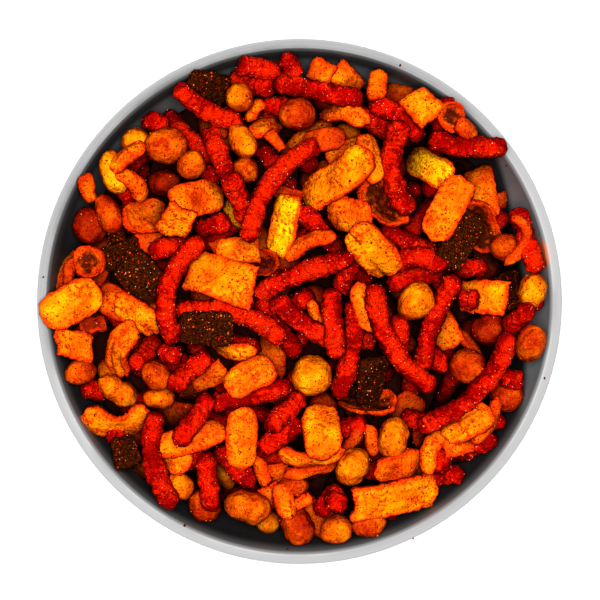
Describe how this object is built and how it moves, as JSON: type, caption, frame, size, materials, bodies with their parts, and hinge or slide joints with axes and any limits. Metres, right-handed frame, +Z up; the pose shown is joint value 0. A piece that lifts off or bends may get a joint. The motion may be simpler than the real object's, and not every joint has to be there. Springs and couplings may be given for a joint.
{
  "type": "bowl of trail mix",
  "caption": "Round footed bowl heaped with spicy trail mix: bent red corn sticks, curled corn chips, coated nuts and dark rye chips.",
  "frame": {"origin": "centre of the foot's underside, on the surface that the bowl stands on", "axes": "+Z up along the bowl's axis; +X to the right and +Y to the top of the picture, which looks straight down"},
  "size_m": [0.22, 0.22, 0.0861],
  "materials": {
    "bowl": "pale grey satin glaze",
    "trail_mix": "crisp baked and fried crust with red and orange seasoning"
  },
  "bodies": {
    "root": {"bowl": "bowl", "trail_mix": "trail_mix"}
  },
  "joints": []
}
